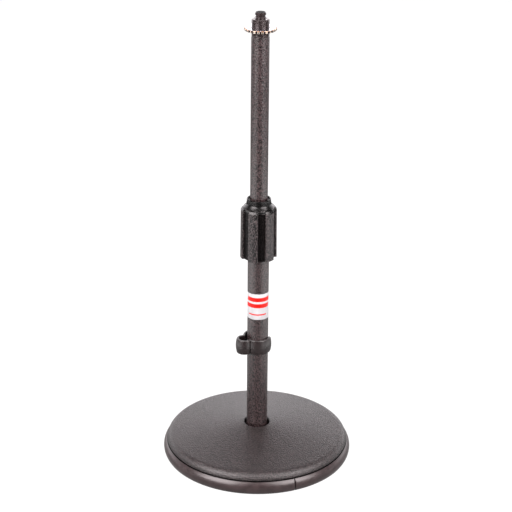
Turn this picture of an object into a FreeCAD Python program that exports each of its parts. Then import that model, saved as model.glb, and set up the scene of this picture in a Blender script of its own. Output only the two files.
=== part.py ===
import FreeCAD, Part
import math
import os
import Sketcher

# Desktop microphone stand: a domed cast base with a bumper strip, a fixed lower tube, a twist clutch and a
# telescoping upper tube that ends in a 3/8 inch stud, a 5/8 inch thread adapter and a scalloped lock ring.
# Millimetres. +Z is up, the origin is on the resting plane under the tube's axis, and the front is -Y.

SIZES = {
    # general
    "cut_overrun": 1.0,
    "press_gap": 0.02,
    "running_fit": 0.05,
    # base casting
    "casting_bottom": 1.5,
    "casting_radius": 84.6,
    "casting_edge_height": 13.9,
    "dome_height": 30.3,
    "dome_rim_height": 20.1,
    "shoulder_radius": 7.0,
    "well_radius": 11.7,
    "well_floor": 24.5,
    "well_rounding": 0.9,
    "socket_radius": 9.8,
    "socket_floor": 18.0,
    "seat_thickness": 4.0,
    "bolt_hole_radius": 5.5,
    "counterbore_radius": 12.0,
    "boss_radius": 24.0,
    "boss_bottom": 3.5,
    "shell_thickness": 7.0,
    "rim_radius": 83.0,
    "rim_width": 17.0,
    "rib_thickness": 5.0,
    "rib_bottom": 4.5,
    "rib_top": 22.3,
    "rib_count": 6,
    "rim_groove_depth": 1.0,
    "rim_groove_middle": 6.8,
    "rim_groove_height": 2.6,
    # bumper strip
    "bumper_bottom": 1.5,
    "bumper_top_gap": 0.5,
    "bumper_fit": 0.05,
    "bumper_top_radius": 84.9,
    "bumper_bulge_radius": 87.9,
    "bumper_bulge_height": 6.3,
    "bumper_foot_radius": 86.2,
    "bumper_rounding": 0.4,
    "bumper_joint_gap": 0.5,
    "bumper_joint_angle": -66.0,
    # feet
    "foot_radius": 8.0,
    "foot_circle_radius": 76.6,
    "foot_rounding": 0.5,
    # base bolt and washers
    "bolt_radius": 4.95,
    "bolt_head_flats": 17.0,
    "bolt_head_height": 6.4,
    "bolt_tip_chamfer": 1.0,
    "bolt_bevel_inset": 0.4,
    "bolt_bevel_height": 1.2,
    "bolt_end": 34.0,
    "spring_washer_radius": 9.0,
    "spring_washer_thickness": 2.2,
    "spring_washer_gap": 1.2,
    "flat_washer_radius": 10.5,
    "flat_washer_thickness": 2.0,
    "washer_hole_radius": 5.3,
    # tubes
    "lower_tube_radius": 9.7,
    "lower_tube_bore": 8.3,
    "lower_tube_top": 214.0,
    "upper_tube_radius": 7.95,
    "upper_tube_bore": 6.75,
    "upper_tube_bottom": 201.0,
    "upper_tube_top": 405.6,
    "tube_chamfer": 0.35,
    "insert_length": 20.0,
    "insert_bore": 5.0,
    "insert_lead": 0.8,
    "insert_chamfer": 0.6,
    # label
    "label_bottom": 139.8,
    "label_height": 25.4,
    "label_thickness": 0.07,
    "label_wrap_angle": 352.0,
    # cable clip
    "clip_bottom": 105.1,
    "clip_height": 14.0,
    "clip_bore": 9.8,
    "clip_thickness": 3.1,
    "clip_barrel": 1.0,
    "clip_corner_ease": 0.4,
    "clip_ring_start": -124.0,
    "clip_ring_sweep": 116.0,
    "hook_left": 12.2,
    "hook_front": 5.0,
    "hook_bore": 5.2,
    "hook_thickness": 2.8,
    "hook_start": 87.0,
    "hook_sweep": 245.0,
    "arm_right": 0.1,
    "arm_back": 2.35,
    "arm_bore": 11.9,
    "arm_thickness": 2.0,
    "arm_barrel": 0.5,
    "arm_start": 115.0,
    "arm_sweep": 69.0,
    "tip_bore": 3.6,
    "tip_start": -1.0,
    # clutch
    "sleeve_bottom": 200.6,
    "sleeve_top": 240.0,
    "sleeve_thread_radius": 11.6,
    "sleeve_thread_gap": 2.0,
    "sleeve_stop_radius": 8.05,
    "sleeve_stop_height": 3.0,
    "sleeve_mouth_radius": 10.2,
    "sleeve_seat_radius": 8.7,
    "sleeve_cone_start": 233.5,
    "thread_pitch": 2.0,
    "thread_depth": 0.7,
    "sleeve_thread_turns": 18,
    "collet_bore": 8.0,
    "collet_gap": 0.12,
    "collet_collar_gap": 0.3,
    "collet_bottom": 231.4,
    "collet_collar_radius": 10.7,
    "collet_collar_top": 244.0,
    "collet_neck_radius": 8.75,
    "collet_top": 254.5,
    "collet_slot": 1.2,
    "collet_slot_top": 241.5,
    "collet_slot_count": 4,
    "thrust_ring_thickness": 1.2,
    "thrust_ring_bore": 8.85,
    "grip_bottom": 199.3,
    "grip_top": 255.7,
    "grip_rib_top": 245.3,
    "grip_rib_radius": 16.2,
    "grip_foot_radius": 16.6,
    "grip_groove_radius": 14.2,
    "grip_cone_radius": 14.9,
    "grip_cone_top": 250.3,
    "grip_neck_radius": 11.2,
    "grip_lip_radius": 10.9,
    "grip_lip_height": 1.6,
    "grip_lip_flare_height": 0.4,
    "grip_lip_taper": 0.15,
    "grip_lip_bevel": 0.5,
    "grip_lip_bevel_height": 0.35,
    "grip_undercut": 0.35,
    "grip_skirt_bore": 12.2,
    "grip_mouth_bore": 8.95,
    "grip_mouth_flare": 9.75,
    "grip_flare_depth": 2.2,
    "grip_cavity_gap": 0.3,
    "grip_step_rise": 1.0,
    "grip_step_drop": 0.4,
    "grip_cove_side": 1.25,
    "grip_cove_drop": 1.75,
    "grip_shoulder_gap": 0.1,
    "grip_groove_angle": 26.5,
    "grip_groove_top": 247.4,
    "grip_groove_foot_ease": 0.5,
    "grip_groove_mouth_ease": 0.3,
    "grip_groove_crown": 0.284,
    "grip_rib_count": 6,
    "grip_first_groove": -79.4,
    "nut_bottom": 212.0,
    "nut_top": 226.0,
    "nut_bore": 11.7,
    "nut_radius": 13.0,
    "nut_chamfer": 0.5,
    # guide at the upper tube's bottom end
    "guide_radius": 8.25,
    "guide_bush_height": 11.8,
    "guide_neck_radius": 5.5,
    "guide_gap": 0.1,
    "guide_plug_length": 16.0,
    "guide_plug_tail": 1.0,
    "guide_tail_step": 0.3,
    "guide_lead": 0.8,
    "guide_chamfer": 0.5,
    "retainer_radius": 7.2,
    "retainer_thickness": 1.0,
    "retainer_groove_radius": 4.7,
    "retainer_opening": 6.0,
    # top stud, adapter and lock ring
    "stud_plug_bottom": 385.6,
    "stud_major_radius": 4.72,
    "stud_shank_radius": 4.6,
    "stud_ridge_bottom": 420.7,
    "stud_ridge_top": 421.8,
    "stud_ridge_flank": 0.3,
    "stud_relief_flank": 0.7,
    "stud_collar_flank": 0.5,
    "stud_relief_radius": 4.05,
    "stud_collar_bottom": 424.1,
    "stud_top": 426.3,
    "stud_chamfer": 0.45,
    "adapter_bottom": 405.8,
    "adapter_top": 420.3,
    "adapter_bore": 4.66,
    "adapter_seat_radius": 7.72,
    "adapter_major_radius": 7.94,
    "adapter_minor_radius": 7.4,
    "adapter_pitch": 0.94,
    "adapter_thread_start": 413.4,
    "adapter_thread_turns": 6,
    "adapter_chamfer": 0.8,
    "adapter_foot_chamfer": 0.3,
    "adapter_thread_gap": 0.3,
    "ring_bottom": 410.5,
    "ring_thickness": 2.5,
    "ring_radius": 14.2,
    "ring_bore": 8.0,
    "ring_scallop_radius": 1.25,
    "ring_scallop_circle": 14.75,
    "ring_scallop_count": 24,
    "ring_rounding": 0.4,
}

FOOT_ANGLES = [-135.0, -45.0, 45.0, 135.0]
CREST_START, CREST_END = 0.22, 0.78  # the flat crest of a thread ridge, as shares of the pitch
XY, XZ = "XY_Plane", "XZ_Plane"
PLANE_AXIS = "V_Axis"


class Size:
    """A number with the spreadsheet formula that gives it, so that sketches can be bound to the sheet."""

    def __init__(self, number, formula=None):
        self.number = float(number)
        self.formula = formula or repr(float(number))

    def joined(self, sign, other, number):
        return Size(number, f"({self.formula} {sign} {other.formula})")

    def __add__(self, other):
        other = as_size(other)
        return self.joined("+", other, self.number + other.number)

    def __sub__(self, other):
        other = as_size(other)
        return self.joined("-", other, self.number - other.number)

    def __mul__(self, other):
        other = as_size(other)
        return self.joined("*", other, self.number * other.number)

    def __truediv__(self, other):
        other = as_size(other)
        return self.joined("/", other, self.number / other.number)

    def __neg__(self):
        return Size(-self.number, f"(0 - {self.formula})")


def as_size(value):
    return value if isinstance(value, Size) else Size(value)


class Sheet:
    """The driving dimensions: every alias of the spreadsheet is an attribute that holds a Size."""

    def __init__(self, document):
        table = document.addObject("Spreadsheet::Sheet", "size")
        for row, (name, number) in enumerate(SIZES.items(), start=1):
            table.set(f"A{row}", name)
            table.set(f"B{row}", str(number))
            table.setAlias(f"B{row}", name)
            setattr(self, name, Size(number, f"size.{name}"))


doc = FreeCAD.newDocument("mic_stand")
s = Sheet(doc)
doc.recompute()
SUB_PARTS = []


# ---- modelling helpers ----


def new_body(label):
    body = doc.addObject("PartDesign::Body", label)
    body.Label = label
    SUB_PARTS.append(body)
    return body


def origin_plane(body, role):
    return next(f for f in body.Origin.OriginFeatures if f.Role == role)


def new_sketch(body, plane=XZ, lift=None, turn=None):
    """A sketch on an origin plane, moved along its normal by lift or turned by turn degrees."""
    sketch = body.newObject("Sketcher::SketchObject", body.Name + "_sketch")
    sketch.AttachmentSupport = [(origin_plane(body, plane), "")]
    sketch.MapMode = "FlatFace"
    if turn is not None:
        turn = as_size(turn)
        spin = FreeCAD.Rotation(FreeCAD.Vector(0, 0, 1), turn.number)
        sketch.AttachmentOffset = FreeCAD.Placement(FreeCAD.Vector(), spin)
    if turn is not None and turn.formula.startswith("size."):
        sketch.setExpression("AttachmentOffset.Rotation.Angle", f"{turn.formula} * 1 deg")
    if lift is not None:
        sketch.setExpression("AttachmentOffset.Base.z", f"{as_size(lift).formula} * 1 mm")
    return sketch


def bind(sketch, kind, places, value):
    """A dimension of the sketch that follows the sheet."""
    value = as_size(value)
    index = sketch.addConstraint(Sketcher.Constraint(kind, *places, value.number))
    sketch.setExpression(f"Constraints[{index}]", value.formula)


def pin_point(sketch, geometry, which, point):
    for kind, value, axis in (("DistanceX", point[0], -2), ("DistanceY", point[1], -1)):
        if as_size(value).number == 0:
            sketch.addConstraint(Sketcher.Constraint("PointOnObject", geometry, which, axis))
        else:
            bind(sketch, kind, (-1, 1, geometry, which), value)


def vector(point):
    return FreeCAD.Vector(as_size(point[0]).number, as_size(point[1]).number, 0)


def outline(sketch, points, arcs=None):
    """A closed outline through the points; arcs gives a middle point for a stretch that is curved."""
    arcs = arcs or {}
    starts, finishes = [], []
    for i, point in enumerate(points):
        ends = vector(point), vector(points[(i + 1) % len(points)])
        if i in arcs:
            middle = vector(arcs[i])
            clockwise = (middle - ends[0]).cross(ends[1] - ends[0]).z < 0
            start, end = reversed(ends) if clockwise else ends
            index = sketch.addGeometry(Part.Arc(start, middle, end), False)
            first = 2 if clockwise else 1
        else:
            index = sketch.addGeometry(Part.LineSegment(*ends), False)
            first = 1
        starts.append((index, first))
        finishes.append((index, 3 - first))
    for i, point in enumerate(points):
        sketch.addConstraint(Sketcher.Constraint("Coincident", *finishes[i - 1], *starts[i]))
        pin_point(sketch, *starts[i], point)
    for i, middle in arcs.items():
        index = sketch.addGeometry(Part.Point(vector(middle)), True)
        pin_point(sketch, index, 1, middle)
        sketch.addConstraint(Sketcher.Constraint("PointOnObject", index, 1, starts[i][0]))


def circle(sketch, radius, x=0, y=0):
    radius = as_size(radius)
    index = sketch.addGeometry(Part.Circle(vector((x, y)), FreeCAD.Vector(0, 0, 1), radius.number), False)
    pin_point(sketch, index, 3, (x, y))
    bind(sketch, "Radius", (index,), radius)


def rectangle(sketch, left, right, bottom, top):
    outline(sketch, [(left, bottom), (right, bottom), (right, top), (left, top)])


def polygon(sketch, flats, sides):
    """A regular polygon of the given width across flats, centred on the origin, with a flat facing +Y."""
    corner = flats.number / 2 / math.cos(math.pi / sides)
    angles = [math.pi * (2 * i + 1) / sides for i in range(sides)]
    ring = [FreeCAD.Vector(corner * math.sin(a), corner * math.cos(a), 0) for a in angles]
    lines = [sketch.addGeometry(Part.LineSegment(p, q), False) for p, q in zip(ring, ring[1:] + ring[:1])]
    guide = sketch.addGeometry(Part.Circle(FreeCAD.Vector(), FreeCAD.Vector(0, 0, 1), flats.number / 2), True)
    sketch.addConstraint(Sketcher.Constraint("Coincident", guide, 3, -1, 1))
    bind(sketch, "Radius", (guide,), flats / 2)
    for line, following in zip(lines, lines[1:] + lines[:1]):
        sketch.addConstraint(Sketcher.Constraint("Coincident", line, 2, following, 1))
        sketch.addConstraint(Sketcher.Constraint("Tangent", line, guide))
        if line != lines[-1]:
            sketch.addConstraint(Sketcher.Constraint("Equal", line, following))
    sketch.addConstraint(Sketcher.Constraint("Horizontal", lines[-1]))


def finish(feature, expressions=None):
    for name, value in (expressions or {}).items():
        feature.setExpression(name, as_size(value).formula)
    doc.recompute()
    return feature


def revolve(body, sketch, kind="Revolution", angle=360):
    feature = body.newObject(f"PartDesign::{kind}", body.Name + "_" + kind.lower())
    feature.Profile = sketch
    feature.ReferenceAxis = (sketch, [PLANE_AXIS])
    feature.Angle = as_size(angle).number
    sketch.Visibility = False
    return finish(feature, {"Angle": angle} if isinstance(angle, Size) else None)


def pad(body, sketch, length):
    feature = body.newObject("PartDesign::Pad", body.Name + "_pad")
    feature.Profile = sketch
    return finish(feature, {"Length": length})


def pocket(body, sketch, length):
    """A pocket cut upward from the sketch plane; it has to take something away."""
    before = body.Shape.Volume
    feature = body.newObject("PartDesign::Pocket", body.Name + "_pocket")
    feature.Profile = sketch
    feature.Reversed = True
    finish(feature, {"Length": length})
    if not feature.Shape.Volume < before:
        raise RuntimeError(f"{feature.Name} cuts nothing")
    return feature


def around(body, feature, count):
    pattern = body.newObject("PartDesign::PolarPattern", body.Name + "_pattern")
    pattern.Originals = [feature]
    pattern.Axis = (origin_plane(body, "Z_Axis"), [""])
    pattern.Angle = 360
    body.Tip = pattern
    return finish(pattern, {"Occurrences": count})


def edges_where(shape, test):
    return [f"Edge{i}" for i, edge in enumerate(shape.Edges, start=1) if test(edge)]


def ring_edge(radius, height, tolerance=0.02):
    """A test for the circular edges round the body's axis at that radius and height."""
    radius, height = as_size(radius).number, as_size(height).number

    def test(edge):
        curve = edge.Curve
        if not isinstance(curve, Part.Circle) or abs(curve.Radius - radius) > tolerance:
            return False
        centre = curve.Center
        return abs(centre.z - height) < tolerance and math.hypot(centre.x, centre.y) < tolerance

    return test


def dress(body, kind, base, names, size):
    """A fillet or chamfer of the named edges of base."""
    if not names:
        raise RuntimeError(f"{body.Name}: no edge to {kind.lower()}")
    feature = body.newObject(f"PartDesign::{kind}", body.Name + "_" + kind.lower())
    feature.Base = (base, names)
    return finish(feature, {"Radius" if kind == "Fillet" else "Size": size})


def fillet(body, base, test, radius):
    return dress(body, "Fillet", base, edges_where(base.Shape, test), radius)


def chamfer(body, base, test, size):
    return dress(body, "Chamfer", base, edges_where(base.Shape, test), size)


def turned(label, points, arcs=None, angle=360, turn=None):
    """A body made by turning a half section, given as (radius, height) points, about the Z axis."""
    body = new_body(label)
    sketch = new_sketch(body, XZ)
    outline(sketch, points, arcs)
    revolve(body, sketch, angle=angle)
    if turn is not None:
        body.Placement = FreeCAD.Placement(FreeCAD.Vector(), FreeCAD.Rotation(FreeCAD.Vector(0, 0, 1), turn))
    return body


def tube(label, bore, radius, bottom, top):
    return turned(label, [(bore, bottom), (radius, bottom), (radius, top), (bore, top)])


def ridges(start, pitch, turns, root, crest):
    """Thread ridges as (radius, height) points going up: turns ridges with flat crests and roots."""
    points = []
    for i in range(turns):
        foot = start + pitch * i
        points += [(root, foot), (crest, foot + pitch * CREST_START), (crest, foot + pitch * CREST_END)]
    return points + [(root, start + pitch * turns)]


# ---- base ----


def base_casting():
    body = new_body("base_casting")
    sketch = new_sketch(body, XZ)
    seat_bottom = s.socket_floor - s.seat_thickness
    rim_inside = s.rim_radius - s.rim_width
    groove_radius = s.rim_radius - s.rim_groove_depth
    groove_top = s.rim_groove_middle + s.rim_groove_height / 2
    groove_bottom = s.rim_groove_middle - s.rim_groove_height / 2
    outline(
        sketch,
        [
            (s.bolt_hole_radius, seat_bottom),
            (s.bolt_hole_radius, s.socket_floor),
            (s.socket_radius, s.socket_floor),
            (s.socket_radius, s.well_floor),
            (s.well_radius, s.well_floor),
            (s.well_radius, s.dome_height),
            (s.casting_radius, s.dome_rim_height),
            (s.casting_radius, s.casting_edge_height),
            (s.rim_radius, s.casting_edge_height),
            (s.rim_radius, groove_top),
            (groove_radius, groove_top),
            (groove_radius, groove_bottom),
            (s.rim_radius, groove_bottom),
            (s.rim_radius, s.casting_bottom),
            (rim_inside, s.casting_bottom),
            (rim_inside, s.dome_rim_height - s.shell_thickness),
            (s.boss_radius, s.dome_height - s.shell_thickness),
            (s.boss_radius, s.boss_bottom),
            (s.counterbore_radius, s.boss_bottom),
            (s.counterbore_radius, seat_bottom),
        ],
    )
    turned_shell = revolve(body, sketch)
    dome = fillet(body, turned_shell, ring_edge(s.casting_radius, s.dome_rim_height), s.shoulder_radius)
    dome = fillet(body, dome, ring_edge(s.well_radius, s.dome_height), s.well_rounding)
    rib_plan = new_sketch(body, XY, lift=s.rib_bottom)
    half = s.rib_thickness / 2
    rectangle(rib_plan, s.boss_radius - s.cut_overrun, rim_inside + s.cut_overrun, -half, half)
    rib = pad(body, rib_plan, s.rib_top - s.rib_bottom)
    around(body, rib, s.rib_count)


def edge_bumper():
    """An extruded strip snapped round the rim by a bead, with its two ends meeting in a butt joint."""
    inside = s.rim_radius + s.bumper_fit
    top = s.casting_edge_height - s.bumper_top_gap
    bead_radius = s.rim_radius - s.rim_groove_depth + s.bumper_fit
    bead_top = s.rim_groove_middle + s.rim_groove_height / 2 - s.bumper_fit
    bead_bottom = s.rim_groove_middle - s.rim_groove_height / 2 + s.bumper_fit
    body = turned(
        "edge_bumper",
        [
            (inside, s.bumper_bottom),
            (s.bumper_foot_radius, s.bumper_bottom),
            (s.bumper_top_radius, top),
            (inside, top),
            (inside, bead_top),
            (bead_radius, bead_top),
            (bead_radius, bead_bottom),
            (inside, bead_bottom),
        ],
        arcs={1: (s.bumper_bulge_radius, s.bumper_bulge_height)},
    )
    strip = fillet(body, body.Tip, ring_edge(s.bumper_top_radius, top), s.bumper_rounding)
    fillet(body, strip, ring_edge(s.bumper_foot_radius, s.bumper_bottom), s.bumper_rounding)
    joint = new_sketch(body, XY, turn=s.bumper_joint_angle)
    half = s.bumper_joint_gap / 2
    rectangle(joint, bead_radius - s.cut_overrun, s.bumper_bulge_radius + s.cut_overrun, -half, half)
    pocket(body, joint, s.casting_edge_height)


def foot_pads():
    """Thin stick-on pads under the rim that reach out as far as the bumper strip."""
    for number, angle in enumerate(FOOT_ANGLES, start=1):
        body = new_body(f"foot_pad_{number}")
        sketch = new_sketch(body, XZ)
        outline(
            sketch,
            [(0, 0), (s.foot_radius, 0), (s.foot_radius, s.casting_bottom), (0, s.casting_bottom)],
        )
        pad_solid = revolve(body, sketch)
        fillet(body, pad_solid, ring_edge(s.foot_radius, 0), s.foot_rounding)
        body.Placement.Base = FreeCAD.Vector(
            s.foot_circle_radius.number * math.cos(math.radians(angle)),
            s.foot_circle_radius.number * math.sin(math.radians(angle)),
            0,
        )


def base_fixings():
    """The bolt that pulls the lower tube down into its socket, with its spring washer and flat washer."""
    seat_bottom = s.socket_floor - s.seat_thickness
    flat_bottom = seat_bottom - s.flat_washer_thickness
    spring_bottom = flat_bottom - s.spring_washer_thickness
    hole = s.washer_hole_radius
    tube("base_flat_washer", hole, s.flat_washer_radius, flat_bottom, seat_bottom)
    spring = tube("base_spring_washer", hole, s.spring_washer_radius, spring_bottom, flat_bottom)
    cut = new_sketch(spring, XY, lift=spring_bottom)
    half = s.spring_washer_gap / 2
    rectangle(cut, hole - s.cut_overrun, s.spring_washer_radius + s.cut_overrun, -half, half)
    pocket(spring, cut, s.spring_washer_thickness)
    bolt = new_body("base_bolt")
    head_plan = new_sketch(bolt, XY, lift=spring_bottom - s.bolt_head_height)
    polygon(head_plan, s.bolt_head_flats, 6)
    pad(bolt, head_plan, s.bolt_head_height)
    shank = new_sketch(bolt, XY, lift=spring_bottom)
    circle(shank, s.bolt_radius)
    whole = pad(bolt, shank, s.bolt_end - spring_bottom)
    whole = chamfer(bolt, whole, ring_edge(s.bolt_radius, s.bolt_end), s.bolt_tip_chamfer)
    corner = s.bolt_head_flats / 2
    bevel = new_sketch(bolt, XZ)
    low = spring_bottom - s.bolt_head_height
    outside = corner + s.bolt_bevel_inset * 4
    outline(bevel, [(corner - s.bolt_bevel_inset, low), (outside, low), (outside, low + s.bolt_bevel_height)])
    revolve(bolt, bevel, kind="Groove")


# ---- lower tube ----


def lower_tube():
    body = tube("lower_tube", s.lower_tube_bore, s.lower_tube_radius, s.socket_floor, s.lower_tube_top)
    end = chamfer(body, body.Tip, ring_edge(s.lower_tube_bore, s.lower_tube_top), s.tube_chamfer)
    chamfer(body, end, ring_edge(s.lower_tube_radius, s.socket_floor), s.tube_chamfer)
    top = s.socket_floor + s.insert_length
    plug = s.lower_tube_bore - s.press_gap
    insert = tube("foot_insert", s.insert_bore, plug, s.socket_floor, top)
    end = chamfer(insert, insert.Tip, ring_edge(plug, top), s.insert_lead)
    chamfer(insert, end, ring_edge(s.insert_bore, s.socket_floor), s.insert_chamfer)


def label():
    inside = s.lower_tube_radius
    turned(
        "label",
        [
            (inside, s.label_bottom),
            (inside + s.label_thickness, s.label_bottom),
            (inside + s.label_thickness, s.label_bottom + s.label_height),
            (inside, s.label_bottom + s.label_height),
        ],
        angle=s.label_wrap_angle,
        turn=90 + (360 - s.label_wrap_angle.number) / 2,
    )


def barrel_section(sketch, bore, thickness, bottom, height, barrel):
    """The clip's wall in section: flat inside, barrelled outside, with softened corners."""
    outer, top, soft = bore + thickness, bottom + height, s.clip_corner_ease
    outline(
        sketch,
        [
            (bore, bottom + soft),
            (bore + soft, bottom),
            (outer - barrel, bottom),
            (outer - barrel, top),
            (bore + soft, top),
            (bore, top - soft),
        ],
        arcs={2: (outer, bottom + height / 2)},
    )


def cable_clip():
    """A snap-on clip in one piece: a band round the tube's front, a hook for the cable, and a sprung arm that
    leaves the hook's back and curls in to the tube's back."""
    hook_centre = FreeCAD.Vector(-s.hook_left.number, -s.hook_front.number, 0)
    arm_centre = FreeCAD.Vector(s.arm_right.number, s.arm_back.number, 0)
    bend = math.radians(s.arm_start.number)
    inward = FreeCAD.Vector(math.cos(bend), math.sin(bend), 0) * (s.arm_bore - s.tip_bore).number
    band_wall = (s.clip_thickness, s.clip_barrel)
    hook_wall = (s.hook_thickness, s.clip_barrel)
    arm_wall = (s.arm_thickness, s.arm_barrel)
    walls = [
        wall("clip_ring", FreeCAD.Vector(), s.clip_bore, band_wall, s.clip_ring_start, s.clip_ring_sweep),
        wall("clip_hook", hook_centre, s.hook_bore, hook_wall, s.hook_start, s.hook_sweep),
        wall("clip_arm", arm_centre, s.arm_bore, arm_wall, s.arm_start, s.arm_sweep),
        wall("clip_tip", arm_centre + inward, s.tip_bore, arm_wall, s.tip_start, s.arm_start - s.tip_start),
    ]
    joined = doc.addObject("Part::MultiFuse", "cable_clip")
    joined.Label = "cable_clip"
    joined.Shapes = walls
    joined.Refine = True
    doc.recompute()
    SUB_PARTS.append(joined)


def wall(name, centre, bore, thickness_and_barrel, start, sweep):
    """Part of a barrelled ring round that centre, from the start angle on."""
    body = doc.addObject("PartDesign::Body", name)
    sketch = new_sketch(body, XZ)
    thickness, barrel = thickness_and_barrel
    barrel_section(sketch, bore, thickness, s.clip_bottom, s.clip_height, barrel)
    revolve(body, sketch, angle=sweep)
    turn = FreeCAD.Rotation(FreeCAD.Vector(0, 0, 1), start.number)
    body.Placement = FreeCAD.Placement(centre, turn)
    return body


# ---- clutch ----


def clutch_sleeve():
    """A threaded sleeve pressed over the lower tube, with a stop for the bush and a cone for the collet."""
    stop_top = s.lower_tube_top + s.sleeve_stop_height
    thread_start = s.sleeve_bottom + s.sleeve_thread_gap
    root = s.sleeve_thread_radius - s.thread_depth
    press = s.lower_tube_radius + s.press_gap
    points = [(press, s.sleeve_bottom), (root, s.sleeve_bottom)]
    turns = int(s.sleeve_thread_turns.number)
    points += ridges(thread_start, s.thread_pitch, turns, root, s.sleeve_thread_radius)
    points += [
        (root, s.sleeve_top),
        (s.sleeve_mouth_radius, s.sleeve_top),
        (s.sleeve_seat_radius, s.sleeve_cone_start),
        (s.sleeve_seat_radius, stop_top),
        (s.sleeve_stop_radius, stop_top),
        (s.sleeve_stop_radius, s.lower_tube_top + s.press_gap),
        (press, s.lower_tube_top + s.press_gap),
    ]
    turned("clutch_sleeve", points)


def clutch_collet():
    """A slotted plastic collet: the sleeve's cone squeezes its taper, and its neck fills the grip's mouth."""
    body = turned(
        "clutch_collet",
        [
            (s.collet_bore, s.collet_bottom),
            (s.sleeve_seat_radius - s.collet_gap, s.collet_bottom),
            (s.sleeve_seat_radius - s.collet_gap, s.sleeve_cone_start),
            (s.sleeve_mouth_radius - s.collet_gap, s.sleeve_top + s.collet_collar_gap),
            (s.collet_collar_radius, s.sleeve_top + s.collet_collar_gap),
            (s.collet_collar_radius, s.collet_collar_top),
            (s.collet_neck_radius, s.collet_collar_top),
            (s.collet_neck_radius, s.collet_top),
            (s.collet_bore, s.collet_top),
        ],
    )
    slot = new_sketch(body, XY, lift=s.collet_bottom)
    half = s.collet_slot / 2
    rectangle(slot, s.collet_bore - s.cut_overrun, s.collet_collar_radius + s.cut_overrun, -half, half)
    cut = pocket(body, slot, s.collet_slot_top - s.collet_bottom)
    around(body, cut, s.collet_slot_count)
    tube(
        "clutch_thrust_ring",
        s.thrust_ring_bore,
        s.collet_collar_radius,
        s.collet_collar_top,
        s.collet_collar_top + s.thrust_ring_thickness,
    )


def clutch_grip():
    """The ribbed grip: neck and lip, conical shoulder, and six broad ribs with grooves between them."""
    body = new_body("clutch_grip")
    lip_bottom = s.grip_top - s.grip_lip_height
    shoulder = s.collet_collar_top + s.thrust_ring_thickness + s.grip_shoulder_gap
    cavity = s.collet_collar_radius + s.grip_cavity_gap
    sketch = new_sketch(body, XZ)
    outline(
        sketch,
        [
            (s.grip_skirt_bore, s.grip_bottom),
            (s.grip_foot_radius, s.grip_bottom),
            (s.grip_rib_radius, s.grip_rib_top),
            (s.grip_cone_radius, s.grip_groove_top),
            (s.grip_neck_radius, s.grip_cone_top),
            (s.grip_neck_radius - s.grip_undercut, lip_bottom),
            (s.grip_lip_radius, lip_bottom + s.grip_lip_flare_height),
            (s.grip_lip_radius - s.grip_lip_taper, s.grip_top - s.grip_lip_bevel_height),
            (s.grip_lip_radius - s.grip_lip_bevel, s.grip_top),
            (s.grip_mouth_flare, s.grip_top),
            (s.grip_mouth_bore, s.grip_top - s.grip_flare_depth),
            (s.grip_mouth_bore, shoulder),
            (cavity, shoulder),
            (cavity, s.sleeve_top + s.grip_step_rise),
            (s.grip_skirt_bore, s.sleeve_top - s.grip_step_drop),
            (s.grip_skirt_bore, s.nut_top),
            (s.nut_radius, s.nut_top),
            (s.nut_radius, s.nut_bottom),
            (s.grip_skirt_bore, s.nut_bottom),
        ],
        arcs={3: (s.grip_neck_radius + s.grip_cove_side, s.grip_cone_top - s.grip_cove_drop)},
    )
    revolve(body, sketch)
    plan = new_sketch(body, XY, lift=s.grip_bottom - s.cut_overrun, turn=s.grip_first_groove)
    span = math.tan(math.radians(s.grip_groove_angle.number / 2))
    inner, outer = s.grip_groove_radius, s.grip_foot_radius + s.cut_overrun
    middle = s.grip_rib_radius * span
    foot, mouth = middle - s.grip_groove_foot_ease, middle + s.grip_groove_mouth_ease
    outline(
        plan,
        [(inner, -foot), (outer, -mouth), (outer, mouth), (inner, foot)],
        arcs={3: (inner + s.grip_groove_crown, 0)},
    )
    groove = pocket(body, plan, s.grip_groove_top - s.grip_bottom + s.cut_overrun)
    around(body, groove, s.grip_rib_count)
    thread_ring = tube("clutch_grip_nut", s.nut_bore, s.nut_radius - s.press_gap, s.nut_bottom, s.nut_top)
    chamfer(thread_ring, thread_ring.Tip, ring_edge(s.nut_bore, s.nut_bottom), s.nut_chamfer)


# ---- telescoping tube ----


def upper_tube():
    body = tube("upper_tube", s.upper_tube_bore, s.upper_tube_radius, s.upper_tube_bottom, s.upper_tube_top)
    end = chamfer(body, body.Tip, ring_edge(s.upper_tube_radius, s.upper_tube_top), s.tube_chamfer)
    chamfer(body, end, ring_edge(s.upper_tube_radius, s.upper_tube_bottom), s.tube_chamfer)


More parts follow.
